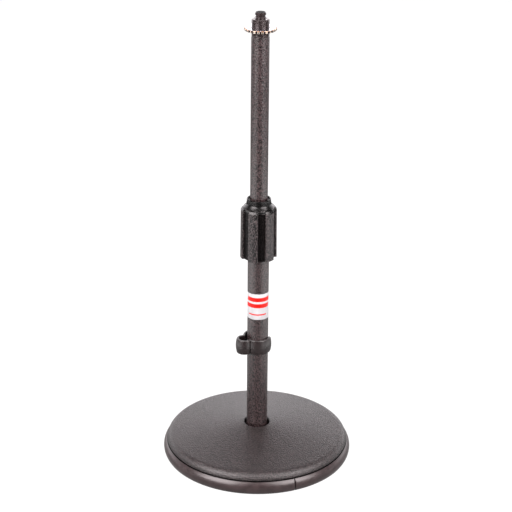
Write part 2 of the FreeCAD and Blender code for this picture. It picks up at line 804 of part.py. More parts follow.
def guide():
    """A plug in the upper tube's bottom end, with the bush that runs in the lower tube and its retainer."""
    bush_top = s.upper_tube_bottom - s.guide_gap
    bush_bottom = bush_top - s.guide_bush_height
    retainer_top = bush_bottom - s.guide_gap
    retainer_bottom = retainer_top - s.retainer_thickness
    plug_bottom = retainer_bottom - s.guide_plug_tail
    tail = s.guide_neck_radius - s.guide_tail_step
    plug_radius = s.upper_tube_bore - s.press_gap
    bush = tube("guide_bush", s.guide_neck_radius + s.running_fit, s.guide_radius, bush_bottom, bush_top)
    end = chamfer(bush, bush.Tip, ring_edge(s.guide_radius, bush_bottom), s.guide_lead)
    chamfer(bush, end, ring_edge(s.guide_radius, bush_top), s.guide_chamfer)
    turned(
        "guide_plug",
        [
            (0, plug_bottom),
            (tail, plug_bottom),
            (tail, retainer_bottom),
            (s.retainer_groove_radius, retainer_bottom),
            (s.retainer_groove_radius, retainer_top),
            (s.guide_neck_radius, retainer_top),
            (s.guide_neck_radius, s.upper_tube_bottom),
            (plug_radius, s.upper_tube_bottom),
            (plug_radius, s.upper_tube_bottom + s.guide_plug_length),
            (0, s.upper_tube_bottom + s.guide_plug_length),
        ],
    )
    ring = tube(
        "guide_retainer",
        s.retainer_groove_radius + s.running_fit,
        s.retainer_radius,
        retainer_bottom + s.press_gap,
        retainer_top - s.press_gap,
    )
    opening = new_sketch(ring, XY, lift=retainer_bottom - s.cut_overrun)
    half = s.retainer_opening / 2
    rectangle(opening, 0, s.retainer_radius + s.cut_overrun, -half, half)
    pocket(ring, opening, s.retainer_thickness + s.cut_overrun * 2)


# ---- microphone end ----


def stud():
    """A plug pressed into the upper tube, with a 3/8 inch stud whose end stands clear of the adapter."""
    plug_radius = s.upper_tube_bore - s.press_gap
    turned(
        "stud",
        [
            (0, s.stud_plug_bottom),
            (plug_radius, s.stud_plug_bottom),
            (plug_radius, s.upper_tube_top),
            (s.stud_shank_radius, s.upper_tube_top),
            (s.stud_shank_radius, s.stud_ridge_bottom - s.stud_ridge_flank),
            (s.stud_major_radius, s.stud_ridge_bottom),
            (s.stud_major_radius, s.stud_ridge_top),
            (s.stud_relief_radius, s.stud_ridge_top + s.stud_relief_flank),
            (s.stud_relief_radius, s.stud_collar_bottom - s.stud_collar_flank),
            (s.stud_major_radius, s.stud_collar_bottom),
            (s.stud_major_radius, s.stud_top - s.stud_chamfer),
            (s.stud_major_radius - s.stud_chamfer, s.stud_top),
            (0, s.stud_top),
        ],
    )


def thread_adapter():
    """A sleeve with a 5/8 inch thread outside, screwed onto the 3/8 inch stud."""
    turns = int(s.adapter_thread_turns.number)
    points = [
        (s.adapter_bore, s.adapter_bottom),
        (s.adapter_seat_radius - s.adapter_foot_chamfer, s.adapter_bottom),
        (s.adapter_seat_radius, s.adapter_bottom + s.adapter_foot_chamfer),
        (s.adapter_seat_radius, s.adapter_thread_start - s.adapter_thread_gap),
    ]
    points += ridges(
        s.adapter_thread_start,
        s.adapter_pitch,
        turns,
        s.adapter_minor_radius,
        s.adapter_major_radius,
    )
    points += [
        (s.adapter_major_radius - s.adapter_chamfer, s.adapter_top),
        (s.adapter_bore, s.adapter_top),
    ]
    turned("thread_adapter", points)


def lock_ring():
    """A thin round nut with a scalloped edge that jams the microphone holder on the 5/8 inch thread."""
    body = tube("lock_ring", s.ring_bore, s.ring_radius, s.ring_bottom, s.ring_bottom + s.ring_thickness)
    rim = fillet(body, body.Tip, ring_edge(s.ring_radius, s.ring_bottom), s.ring_rounding)
    fillet(body, rim, ring_edge(s.ring_radius, s.ring_bottom + s.ring_thickness), s.ring_rounding)
    plan = new_sketch(body, XY, lift=s.ring_bottom - s.cut_overrun)
    circle(plan, s.ring_scallop_radius, s.ring_scallop_circle, 0)
    scallop = pocket(body, plan, s.ring_thickness + s.cut_overrun * 2)
    around(body, scallop, s.ring_scallop_count)


# ---- build, check and write ----


def check_document():
    doc.recompute()
    for thing in doc.Objects:
        if {"Invalid", "Error"} & set(thing.State):
            raise RuntimeError(f"{thing.Name} failed: {thing.State}")
    for thing in SUB_PARTS:
        shape = thing.Shape
        if shape.isNull() or not shape.isValid() or not shape.Solids:
            raise RuntimeError(f"{thing.Label} has no valid solid")


def write_parts(folder="parts"):
    os.makedirs(folder, exist_ok=True)
    for thing in SUB_PARTS:
        shape = thing.Shape
        shape.exportStep(os.path.join(folder, f"{thing.Label}.step"))
        box = shape.BoundBox
        print(
            f"{thing.Label:22s} {len(shape.Solids)} solid  {shape.Volume / 1000:9.3f} cm3"
            f"  z {box.ZMin:8.2f} to {box.ZMax:8.2f}  x {box.XMin:7.2f} to {box.XMax:7.2f}"
        )


base_casting()
edge_bumper()
foot_pads()
base_fixings()
lower_tube()
label()
cable_clip()
clutch_sleeve()
clutch_collet()
clutch_grip()
guide()
upper_tube()
stud()
thread_adapter()
lock_ring()
check_document()
write_parts()
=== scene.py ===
import math

import bmesh
import bpy
from mathutils import Matrix, Vector


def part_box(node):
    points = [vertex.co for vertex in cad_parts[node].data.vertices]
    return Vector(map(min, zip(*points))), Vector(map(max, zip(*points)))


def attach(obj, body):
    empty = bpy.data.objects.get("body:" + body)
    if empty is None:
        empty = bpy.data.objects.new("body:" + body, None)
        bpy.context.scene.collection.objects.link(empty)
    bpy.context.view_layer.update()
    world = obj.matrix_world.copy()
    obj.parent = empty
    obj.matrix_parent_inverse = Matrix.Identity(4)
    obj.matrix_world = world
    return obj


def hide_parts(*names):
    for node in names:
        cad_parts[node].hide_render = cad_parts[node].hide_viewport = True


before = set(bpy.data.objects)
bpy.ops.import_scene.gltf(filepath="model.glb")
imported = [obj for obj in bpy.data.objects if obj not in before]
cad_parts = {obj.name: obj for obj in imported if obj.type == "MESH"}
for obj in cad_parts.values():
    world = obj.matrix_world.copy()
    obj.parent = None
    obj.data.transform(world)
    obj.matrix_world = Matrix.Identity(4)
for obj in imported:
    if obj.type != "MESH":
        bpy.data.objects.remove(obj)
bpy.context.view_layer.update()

MM = 0.001
TAU = 2 * math.pi

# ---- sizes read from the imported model, in metres ----


def bottom(node):
    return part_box(node)[0].z


def top(node):
    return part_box(node)[1].z


def reach(node):
    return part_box(node)[1].x


# ---- outlines ----


def arc(centre, radius, start, end, steps):
    """Points of a circular arc, both ends included; the angles are in degrees."""
    angles = [math.radians(start + (end - start) * i / steps) for i in range(steps + 1)]
    return [(centre[0] + radius * math.cos(a), centre[1] + radius * math.sin(a)) for a in angles]


def bow(start, middle, end, steps):
    """Points of the arc from start to end by way of middle, both ends included."""
    (ax, ay), (bx, by), (cx, cy) = start, middle, end
    d = 2 * (ax * (by - cy) + bx * (cy - ay) + cx * (ay - by))
    a, b, c = ax * ax + ay * ay, bx * bx + by * by, cx * cx + cy * cy
    x = (a * (by - cy) + b * (cy - ay) + c * (ay - by)) / d
    y = (a * (cx - bx) + b * (ax - cx) + c * (bx - ax)) / d
    first, last = math.degrees(math.atan2(ay - y, ax - x)), math.degrees(math.atan2(cy - y, cx - x))
    return arc((x, y), math.dist((x, y), start), first, last, steps)


def rounded(corners, steps=5, closed=True):
    """An outline through (x, y, rounding) corners, with an arc of that radius in place of each corner."""
    points = []
    count = len(corners)
    for i, (x, y, rounding) in enumerate(corners):
        here = Vector((x, y))
        ends = not closed and i in (0, count - 1)
        if rounding <= 0 or ends:
            points.append((x, y))
            continue
        before = Vector(corners[i - 1][:2]) - here
        after = Vector(corners[(i + 1) % count][:2]) - here
        half = before.angle(after) / 2
        longest = 0.49 * min(before.length, after.length)
        setback = min(rounding / math.tan(half), longest)
        radius = setback * math.tan(half)
        centre = here + (before.normalized() + after.normalized()).normalized() * radius / math.sin(half)
        first = here + before.normalized() * setback - centre
        last = here + after.normalized() * setback - centre
        for k in range(steps + 1):
            spoke = first.lerp(last, k / steps).normalized() * radius
            points.append(tuple(centre + spoke))
    return points


def in_metres(points):
    return [(x * MM, y * MM) for x, y in points]


def full_turn(segments, start=0.0):
    return [start + TAU * i / segments for i in range(segments)]


def part_turn(start, sweep, segments):
    return [start + sweep * i / segments for i in range(segments + 1)]


# ---- meshes ----


def make_piece(name, bm, material, body, replaced=(), sharp_degrees=32):
    """Turns bm into an object with that material, riding on the body and standing for the replaced nodes."""
    bmesh.ops.remove_doubles(bm, verts=bm.verts, dist=1e-7)
    bmesh.ops.recalc_face_normals(bm, faces=bm.faces)
    mesh = bpy.data.meshes.new(name)
    bm.to_mesh(mesh)
    bm.free()
    mesh.polygons.foreach_set("use_smooth", [True] * len(mesh.polygons))
    mesh.set_sharp_from_angle(angle=math.radians(sharp_degrees))
    mesh.materials.append(material)
    piece = bpy.data.objects.new(name, mesh)
    bpy.context.scene.collection.objects.link(piece)
    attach(piece, body)
    if replaced:
        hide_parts(*replaced)
    return piece


def lathe(bm, outline, angles, closed=True, shape=None, centre=(0, 0)):
    """Turns a closed (radius, height) outline round the Z axis. shape(radius, height, angle) may move each
    point. With closed False the two ends of the turn get flat caps."""
    rings = []
    for a in angles:
        cos_a, sin_a = math.cos(a), math.sin(a)
        ring = []
        for r, z in outline:
            if shape:
                r, z = shape(r, z, a)
            ring.append(bm.verts.new((centre[0] + r * cos_a, centre[1] + r * sin_a, z)))
        rings.append(ring)
    spans = len(rings) if closed else len(rings) - 1
    for i in range(spans):
        here, following = rings[i], rings[(i + 1) % len(rings)]
        for j in range(len(outline)):
            k = (j + 1) % len(outline)
            if max(outline[j][0], outline[k][0]) > 1e-9:
                bm.faces.new((here[j], following[j], following[k], here[k]))
    if not closed:
        bm.faces.new(rings[0])
        bm.faces.new(list(reversed(rings[-1])))
    return bm


def turned_piece(name, outline, material, body, replaced=(), segments=128, shape=None,
                 sharp_degrees=32):
    bm = lathe(bmesh.new(), outline, full_turn(segments), shape=shape)
    return make_piece(name, bm, material, body, replaced, sharp_degrees)


def thread_shape(crest, depth, pitch, first, last, runout=0.8):
    """A right-hand thread cut into the outside between two heights: the radius falls from the crest to the
    root. The flat on the crest and the width of a flank are shares of the pitch."""
    crest_flat, flank_width = 0.08, 0.34

    def shape(r, z, angle):
        inside = min(z - first, last - z) / (runout * pitch)
        within_wall = r < crest - depth * 1.5
        if inside <= 0 or within_wall:
            return r, z
        phase = (z / pitch - angle / TAU) % 1.0
        flank = min(1.0, max(0.0, (abs(phase - 0.5) - crest_flat) / flank_width))
        root = crest - depth * flank * min(1.0, inside)
        return min(r, root), z

    return shape


def levels(low, high, step):
    count = max(1, round((high - low) / step))
    return [low + (high - low) * i / count for i in range(count + 1)]


# ---- materials ----


class Nodes:
    """A material's node tree, with short calls for the nodes that the surfaces use."""

    def __init__(self, name):
        self.material = bpy.data.materials.new(name)
        self.material.use_nodes = True
        self.tree = self.material.node_tree
        self.shader = self.tree.nodes["Principled BSDF"]
        self.place = self.add("ShaderNodeTexCoord").outputs["Object"]

    def add(self, kind, **settings):
        node = self.tree.nodes.new(kind)
        for key, value in settings.items():
            setattr(node, key, value)
        return node

    def put(self, socket, value):
        if isinstance(value, bpy.types.NodeSocket):
            self.tree.links.new(value, socket)
        else:
            socket.default_value = value

    def noise(self, size, detail=3.0, roughness=0.55, stretch=None):
        """Noise with features of that size in metres, from 0 to 1."""
        node = self.add("ShaderNodeTexNoise")
        place = self.place
        if stretch:
            place = self.mapped(stretch)
        self.put(node.inputs["Vector"], place)
        self.put(node.inputs["Scale"], 1.0 / size)
        self.put(node.inputs["Detail"], detail)
        self.put(node.inputs["Roughness"], roughness)
        return node.outputs["Fac"]

    def mapped(self, scale):
        node = self.add("ShaderNodeMapping")
        self.put(node.inputs["Vector"], self.place)
        self.put(node.inputs["Scale"], scale)
        return node.outputs["Vector"]

    def cells(self, size):
        """The distance to the nearest of scattered points that lie about that far apart."""
        node = self.add("ShaderNodeTexVoronoi")
        self.put(node.inputs["Vector"], self.place)
        self.put(node.inputs["Scale"], 1.0 / size)
        return node.outputs["Distance"]

    def math(self, operation, a, b=0.0, clamp=False):
        node = self.add("ShaderNodeMath", operation=operation, use_clamp=clamp)
        self.put(node.inputs[0], a)
        self.put(node.inputs[1], b)
        return node.outputs[0]

    def span(self, value, low, high, out_low=0.0, out_high=1.0, smooth=True):
        """Maps low..high of the value to out_low..out_high, clamped."""
        kind = "SMOOTHSTEP" if smooth else "LINEAR"
        node = self.add("ShaderNodeMapRange", interpolation_type=kind)
        for socket, number in zip(("Value", "From Min", "From Max", "To Min", "To Max"),
                                  (value, low, high, out_low, out_high)):
            self.put(node.inputs[socket], number)
        return node.outputs["Result"]

    def blend(self, factor, a, b):
        """A colour from a to b."""
        node = self.add("ShaderNodeMix", data_type="RGBA")
        self.put(node.inputs["Factor"], factor)
        self.put(node.inputs["A"], a)
        self.put(node.inputs["B"], b)
        return node.outputs["Result"]

    def axis(self, letter):
        node = self.add("ShaderNodeSeparateXYZ")
        self.put(node.inputs[0], self.place)
        return node.outputs[letter]

    def radius(self):
        """The distance from the stand's axis."""
        x, y = self.axis("X"), self.axis("Y")
        squares = self.math("ADD", self.math("MULTIPLY", x, x), self.math("MULTIPLY", y, y))
        return self.math("POWER", squares, 0.5)

    def edges(self, low=0.52, high=0.60):
        """1 on convex edges, 0 elsewhere."""
        return self.span(self.add("ShaderNodeNewGeometry").outputs["Pointiness"], low, high)

    def bump(self, height, distance, strength=1.0, under=None):
        node = self.add("ShaderNodeBump")
        self.put(node.inputs["Height"], height)
        self.put(node.inputs["Distance"], distance)
        self.put(node.inputs["Strength"], strength)
        if under:
            self.put(node.inputs["Normal"], under)
        return node.outputs["Normal"]

    def finish(self, color, roughness, normal=None, metallic=0.0, **sockets):
        self.put(self.shader.inputs["Base Color"], color)
        self.put(self.shader.inputs["Roughness"], roughness)
        self.put(self.shader.inputs["Metallic"], metallic)
        if normal:
            self.put(self.shader.inputs["Normal"], normal)
        for key, value in sockets.items():
            self.put(self.shader.inputs[key.replace("_", " ")], value)
        return self.material


def grey(value, warmth=0.0):
    """A near-black or grey that leans to brown by that share."""
    return (value * (1 + warmth), value, value * (1 + warmth * 0.05), 1)


def powder_coat(name, tone, grain, depth, warmth, clumping, polish, seam=None):
    """Fine-textured powder coat: a pebbled skin of that grain and depth, mottled, with a few paler grains. The
    clumping says how strongly the pebbles gather into bumps, and the polish is its mean roughness. Below
    the seam height, at the rim, it carries painted shade, black and reflecting nothing, so that the joint
    reads as a dark line."""
    rim = 0.080
    n = Nodes(name)
    pebbles = n.cells(grain)
    fine = n.noise(grain * 0.6, detail=4.0)
    clumps = n.noise(grain * 1.5, detail=1.0)
    slow = n.noise(0.012, detail=2.0)
    height = n.math("SUBTRACT", fine, n.math("MULTIPLY", pebbles, 0.8))
    height = n.math("ADD", height, n.math("MULTIPLY", clumps, clumping))
    color = n.blend(n.span(clumps, 0.42, 0.58), grey(tone * 0.1, warmth), grey(tone * 3.4, warmth))
    color = n.blend(n.span(fine, 0.35, 0.68, 0.0, 0.4), color, grey(tone * 1.4, warmth))
    color = n.blend(n.span(pebbles, 0.10, 0.0), color, grey(tone * 3.0, warmth))
    color = n.blend(n.span(slow, 0.3, 0.75, 0.0, 0.25), color, grey(tone * 1.5, warmth))
    color = n.blend(n.math("MULTIPLY", n.edges(), 0.35), color, grey(tone * 3.0, warmth * 0.7))
    roughness = n.span(fine, 0.3, 0.7, polish - 0.08, polish + 0.08)
    dark = 0.0
    if seam:
        up, out = n.axis("Z"), n.radius()
        # Painted shade in the joint under the rim: black, and made metal so that it reflects nothing.
        dark = n.math("MULTIPLY", n.span(up, seam, seam + 0.5 * MM, 1.0, 0.0), n.span(out, rim, rim + MM))
        color = n.blend(dark, color, grey(0.002))
        dark = n.math("MULTIPLY", dark, 0.85)
    return n.finish(color, roughness, n.bump(height, depth, 0.8), metallic=dark, Specular_IOR_Level=0.5)


def satin_rubber(name, tone, roughness, lip):
    """Smooth rubber, faintly clouded, with painted shade where it tucks under the casting above that height:
    black and reflecting nothing.
    """
    n = Nodes(name)
    cloud = n.noise(0.006, detail=4.0)
    skin = n.noise(0.0005, detail=2.0)
    streak = n.noise(0.01, detail=3.0, stretch=(0.3, 0.3, 6.0))
    color = n.blend(n.span(cloud, 0.3, 0.7), grey(tone * 0.8, 0.6), grey(tone * 1.3, 0.6))
    # Painted shade in the crevice under the casting: black, and made metal so that it reflects nothing.
    tucked_shade = n.span(n.axis("Z"), lip - 0.0004, lip - 0.0001)
    color = n.blend(tucked_shade, color, grey(0.002))
    rough = n.math("ADD", n.span(cloud, 0.3, 0.7, -0.015, 0.02), roughness)
    rough = n.math("ADD", rough, n.span(streak, 0.5, 0.8, 0.0, 0.03))
    return n.finish(color, rough, n.bump(skin, 0.00002, 0.5), metallic=n.math("MULTIPLY", tucked_shade, 0.85),
                    Specular_IOR_Level=0.5)


def clear_rubber():
    """Milky, half-clear rubber."""
    n = Nodes("foot_rubber")
    cloud = n.noise(0.003)
    color = n.blend(n.span(cloud, 0.3, 0.7), (0.80, 0.79, 0.74, 1), (0.88, 0.87, 0.84, 1))
    return n.finish(color, n.span(cloud, 0.3, 0.7, 0.3, 0.45), n.bump(cloud, 0.00005), Transmission_Weight=0.35,
                    Subsurface_Weight=0.3, Subsurface_Scale=0.004, IOR=1.45)


def grip_plastic(grain_top):
    """Black moulded plastic: spark-eroded grain on the ribs, up to that height, and a polished shoulder, neck
    and lip above them. The floors of the grooves between the ribs get painted shade, black and reflecting
    nothing, and the convex edges a painted highlight, paler grey."""
    floor_radius, wall_radius = 14.3 * MM, 15.0 * MM
    n = Nodes("grip_plastic")
    ribbed = n.span(n.axis("Z"), grain_top - 0.0003, grain_top + 0.0003, 1.0, 0.0)
    groove = n.math("MULTIPLY", n.span(n.radius(), floor_radius, wall_radius, 1.0, 0.0), ribbed)
    pits = n.noise(0.0011, detail=0.0)
    ripple = n.noise(0.004, detail=2.0)
    grain = n.math("MULTIPLY", n.span(pits, 0.50, 0.60), ribbed)
    color = n.blend(grain, grey(0.0005, 0.4), grey(0.030, 0.30))
    # Painted highlight: convex edges painted paler grey.
    color = n.blend(n.math("MULTIPLY", n.edges(), 0.5), color, grey(0.10, 0.3))
    # Painted shade in the grooves: their floors are painted black and made metal, so they reflect nothing.
    color = n.blend(n.math("MULTIPLY", groove, 0.9), color, grey(0.001, 0.6))
    rough = n.span(ribbed, 0.0, 1.0, 0.26, 0.38, smooth=False)
    rough = n.math("ADD", rough, n.span(pits, 0.3, 0.7, -0.04, 0.08))
    grained = n.bump(n.math("MULTIPLY", pits, ribbed), 0.00045, 1.0)
    normal = n.bump(ripple, 0.00002, 0.4, under=grained)
    return n.finish(color, rough, normal, metallic=n.math("MULTIPLY", groove, 0.85), Specular_IOR_Level=0.35)


def clip_plastic(top_face):
    """Satin black moulded plastic, with a painted highlight: paler on its top face and its edges."""
    n = Nodes("clip_plastic")
    skin = n.noise(0.0009, detail=3.0)
    cloud = n.noise(0.005, detail=2.0)
    color = n.blend(n.span(skin, 0.38, 0.62), grey(0.003, 0.5), grey(0.010, 0.5))
    # Painted highlight: the top face is painted paler, as if lit from above.
    color = n.blend(n.math("MULTIPLY", n.span(n.axis("Z"), top_face - 0.0007, top_face - 0.0002), 0.8), color,
                    grey(0.035, 0.05))
    # Painted highlight on the convex edges.
    color = n.blend(n.math("MULTIPLY", n.edges(), 0.3), color, grey(0.04, 0.2))
    rough = n.span(cloud, 0.3, 0.7, 0.26, 0.36)
    return n.finish(color, rough, n.bump(skin, 0.00006, 0.8), Specular_IOR_Level=0.4)


def black_steel(end):
    """Black oxide with a film of oil: dark and mottled. The crests are paler, partly rubbed wear and partly a
    painted highlight; the hollows get painted shade, near black and reflecting little; the stud's end, which is
    at that height, is rougher and carries painted shade, darker and reflecting nothing."""
    n = Nodes("black_steel")
    cloud = n.noise(0.0015, detail=4.0)
    color = n.blend(n.span(cloud, 0.3, 0.7), grey(0.008, 0.5), grey(0.02, 0.5))
    # Paler on convex edges and crests: partly rubbed wear, partly a painted highlight.
    color = n.blend(n.math("MULTIPLY", n.edges(0.52, 0.60), 0.8), color, grey(0.30, 0.1))
    # Painted shade: hollows such as the thread roots are painted near black.
    sunk = n.edges(0.48, 0.42)
    color = n.blend(sunk, color, grey(0.002))
    # Painted shade on the stud's end: darker, and made metal so that it reflects nothing; its extra roughness
    # is real.
    face = n.math("MULTIPLY", n.span(n.axis("Z"), end - 0.2 * MM, end - 0.1 * MM),
                  n.span(n.radius(), 4.2 * MM, 4.0 * MM))
    rough = n.math("ADD", n.span(cloud, 0.3, 0.7, 0.14, 0.28), n.math("MULTIPLY", face, 0.4))
    metal_and_shade = n.math("MAXIMUM", n.span(sunk, 0.0, 1.0, 0.35, 0.95), face)
    color = n.blend(face, color, grey(0.003))
    return n.finish(color, rough, n.bump(n.noise(0.0008), 0.00004, 0.8), metallic=metal_and_shade)


def plated_brass(low, high, lobes):
    """Plated brass, pale on the crowns of the lobes, with painted shade: dark in the notches and brown in bands
    along the top and bottom of the rim; and a painted highlight, near white with a lavender cast, on the flat
    top."""
    n = Nodes("ring_metal")
    cloud = n.noise(0.0018, detail=4.0)
    turning = n.noise(0.0003, detail=2.0)
    height = n.axis("Z")
    turn = n.math("MULTIPLY", n.math("ARCTAN2", n.axis("Y"), n.axis("X")), lobes / TAU)
    phase = n.math("ABSOLUTE", n.math("SUBTRACT", n.math("FRACT", n.math("ADD", turn, lobes + 0.5)), 0.5))
    # Painted shade in the notches between the lobes: the metal there is near black.
    crown = n.span(phase, 0.12, 0.34)
    pale = n.blend(n.span(cloud, 0.35, 0.7), (0.80, 0.72, 0.62, 1), (0.95, 0.92, 0.88, 1))
    # Painted shade: brown bands along the top and bottom of the rim.
    rim_band_shade = n.math("ADD", n.span(height, high - 0.9 * MM, high - 0.3 * MM),
                  n.span(height, low + 0.9 * MM, low, 0.0, 1.0), clamp=True)
    rim = n.blend(rim_band_shade, pale, (0.42, 0.21, 0.10, 1))
    rim = n.blend(crown, (0.030, 0.014, 0.012, 1), rim)
    # Painted highlight: the flat top is painted near white with a lavender cast, as a blown reflection.
    flat = n.math("MULTIPLY", n.span(height, high - 0.4 * MM, high - 0.1 * MM),
                  n.span(n.radius(), 13.8 * MM, 13.4 * MM))
    color = n.blend(flat, rim, (0.93, 0.91, 0.95, 1))
    rough = n.span(cloud, 0.3, 0.7, 0.14, 0.26)
    return n.finish(color, rough, n.bump(turning, 0.00001, 0.4), metallic=1.0)


def plain_metal(name, light, dark, roughness):
    """Bare or plated metal, faintly clouded, with fine tool marks."""
    n = Nodes(name)
    cloud = n.noise(0.002, detail=4.0)
    color = n.blend(n.span(cloud, 0.3, 0.7), dark, light)
    rough = n.span(cloud, 0.3, 0.7, roughness - 0.06, roughness + 0.08)
    return n.finish(color, rough, n.bump(n.noise(0.0003), 0.00001, 0.5), metallic=1.0)


def nylon():
    """Dull black nylon."""
    n = Nodes("nylon")
    cloud = n.noise(0.002)
    color = n.blend(n.span(cloud, 0.3, 0.7), grey(0.016), grey(0.03))
    return n.finish(color, n.span(cloud, 0.3, 0.7, 0.4, 0.55), n.bump(cloud, 0.00003))


def label_vinyl(low, height):
    """Glossy white vinyl, printed with plain red bars: two broad ones with slanted ends and a thin rule."""
    n = Nodes("label_vinyl")
    up = n.math("DIVIDE", n.math("SUBTRACT", n.axis("Z"), low), height)
    around = n.math("ARCTAN2", n.axis("X"), n.math("MULTIPLY", n.axis("Y"), -1.0))
    soft = 0.012

    def band(value, start, end, blur):
        rise = n.span(value, start - blur, start + blur)
        fall = n.span(value, end - blur, end + blur, 1.0, 0.0)
        return n.math("MULTIPLY", rise, fall)

    slanted = n.math("SUBTRACT", around, n.math("MULTIPLY", up, 0.5))
    bars = n.math("ADD", band(up, 0.70, 0.86, soft), band(up, 0.46, 0.62, soft), clamp=True)
    bars = n.math("MULTIPLY", bars, band(slanted, -1.6, 0.95, soft))
    rule = n.math("MULTIPLY", band(up, 0.17, 0.22, soft), band(slanted, -1.1, 0.75, soft))
    ink = n.math("ADD", bars, rule, clamp=True)
    paper = n.blend(n.span(n.noise(0.004), 0.3, 0.7), (0.33, 0.335, 0.345, 1), (0.37, 0.375, 0.385, 1))
    red = n.blend(n.span(n.noise(0.0008), 0.3, 0.7), (0.40, 0.004, 0.003, 1), (0.50, 0.006, 0.004, 1))
    color = n.blend(ink, paper, red)
    rough = n.span(n.noise(0.003), 0.3, 0.7, 0.3, 0.4)
    return n.finish(color, rough, n.bump(n.noise(0.006), 0.00004, 0.4), Specular_IOR_Level=0.15)


BASE_COAT = powder_coat("base_powder_coat", tone=0.006, grain=0.0008, depth=0.00014, warmth=0.35, clumping=4.0,
                        polish=0.38, seam=top("edge_bumper") + 0.5 * MM)
TUBE_COAT = powder_coat("tube_powder_coat", tone=0.008, grain=0.0008, depth=0.00014, warmth=0.5, clumping=2.2,
                        polish=0.26)
BUMPER = satin_rubber("bumper_rubber", 0.013, 0.33, top("edge_bumper"))
FEET = clear_rubber()
GRIP = grip_plastic(top("clutch_grip") - 10.4 * MM)
CLIP = clip_plastic(top("cable_clip"))
BLACK = black_steel(top("stud"))
RING = plated_brass(bottom("lock_ring"), top("lock_ring"), 24)
ZINC = plain_metal("zinc_steel", (0.70, 0.70, 0.68, 1), (0.48, 0.49, 0.50, 1), 0.30)
BRASS = plain_metal("nut_brass", (0.78, 0.60, 0.32, 1), (0.55, 0.40, 0.20, 1), 0.28)
ALLOY = plain_metal("clutch_alloy", (0.66, 0.66, 0.67, 1), (0.50, 0.50, 0.52, 1), 0.34)
NYLON = nylon()
LABEL = label_vinyl(bottom("label"), top("label") - bottom("label"))

# ---- base ----


def base_casting():
    """The whole casting: crowned top, rounded shoulder, rim with its groove, hollow, boss and ribs."""
    low, high, outer = bottom("base_casting") / MM, top("base_casting") / MM, reach("base_casting") / MM
    well, socket, bolt_hole, counterbore, boss = 11.7, 9.8, 5.5, 12.0, 24.0
    rim_inside, shell = 66.0, 7.0
    rim_top, edge, shoulder = high - 10.2, low + 12.4, 7.0
    ledge = outer - 1.6
    groove_low, groove_high, groove = low + 4.0, low + 6.6, ledge - 1.0
    seat_low, seat_high, well_floor, underside = low + 12.5, low + 16.5, high - 5.8, high - shell
    slope = (high - rim_top) / (outer - well)
    tilt = math.degrees(math.atan(slope))
    turn_height = rim_top + slope * shoulder - shoulder / math.cos(math.radians(tilt))
    crown = [(r, rim_top + slope * (outer - r)) for r in levels(well + 3, outer - shoulder - 1, 8.0)]
    crown += arc((outer - shoulder, turn_height), shoulder, 90 - tilt, 6, 16)
    corners = [(bolt_hole, seat_low, 0.3), (bolt_hole, seat_high, 0.3), (socket, seat_high, 0.2)]
    corners += [(socket, well_floor, 0.2), (well, well_floor, 0.4), (well, high, 1.1)]
    corners += [(r, z, 0) for r, z in crown]
    corners += [(outer, edge, 0.35), (ledge, edge, 0.2)]
    corners += [(ledge, groove_high, 0.2), (groove, groove_high, 0.2), (groove, groove_low, 0.2)]
    corners += [(ledge, groove_low, 0.2), (ledge, low, 0.8), (rim_inside, low, 1.5)]
    corners += [(rim_inside - 1.5, rim_top - shell, 4.0), (boss + 1.0, underside, 4.0), (boss, low + 2, 1.5)]
    corners += [(counterbore, low + 2, 0.8), (counterbore, seat_low, 0.3)]
    bm = lathe(bmesh.new(), in_metres(rounded(corners, steps=8)), full_turn(240))
    ribs, rooted = 6, 1.5
    for i in range(ribs):
        add_rib(bm, TAU * i / ribs, boss - rooted, rim_inside + rooted, low + 3.0, underside + 1.0,
                rim_top - shell + rooted)
    return make_piece("base", bm, BASE_COAT, "stand", ["base_casting"])


def add_rib(bm, angle, inner, outer, low, high_inner, high_outer):
    """A cast rib on the underside, thinner at its free lower edge, which is rounded."""
    half, draft, rounding = 2.5, 0.5, 1.2
    corners = [(-half, 1, 0), (-half + draft, 0, rounding), (half - draft, 0, rounding), (half, 1, 0)]
    section = rounded(corners, steps=4, closed=False)
    turn = Matrix.Rotation(angle, 3, "Z")
    rings = []
    for r, high in ((inner, high_inner), (outer, high_outer)):
        ring = []
        for across, up in section:
            z = low + up if up < 1 else high
            ring.append(bm.verts.new(turn @ Vector((r * MM, across * MM, z * MM))))
        rings.append(ring)
    count = len(section)
    for j in range(count):
        k = (j + 1) % count
        bm.faces.new((rings[0][j], rings[1][j], rings[1][k], rings[0][k]))
    bm.faces.new(rings[0])
    bm.faces.new(list(reversed(rings[1])))


def edge_bumper():
    """The strip round the rim, with its tongue inside and its butt joint at the front right. Its two ends are
    eased and drawn in a little."""
    low, high = bottom("edge_bumper") / MM, top("edge_bumper") / MM
    inside, foot, head = 83.05, 86.2, 84.9
    bulge = [(r, z, 0) for r, z in bow((foot, low), (87.9, low + 4.8), (head, high), 24)][2:-1]
    corners = [(inside, low, 0.2), (foot, low, 0.4)] + bulge + [(head, high, 0.3), (inside, high, 0.2)]
    corners += [(inside, low + 6.55, 0.1), (inside - 0.95, low + 6.55, 0.3)]
    corners += [(inside - 0.95, low + 4.05, 0.3), (inside, low + 4.05, 0.1)]
    outline = in_metres(rounded(corners, steps=6))
    joint, mean_radius, section_middle, shrink = math.radians(-66.0), 86.0, 0.0850, 0.93
    gap, ease = 0.8 / mean_radius, 0.25 / mean_radius
    angles = part_turn(joint + gap / 2, TAU - gap, 288)
    eased = [angles[0] + ease, angles[-1] - ease]
    angles = [angles[0], eased[0]] + angles[1:-1] + [eased[1], angles[-1]]
    ends = (angles[0], angles[-1])

    def shape(r, z, a):
        if a in ends:
            r = section_middle + (r - section_middle) * shrink
        return r, z

    bm = lathe(bmesh.new(), outline, angles, closed=False, shape=shape)
    return make_piece("bumper", bm, BUMPER, "stand", ["edge_bumper"])


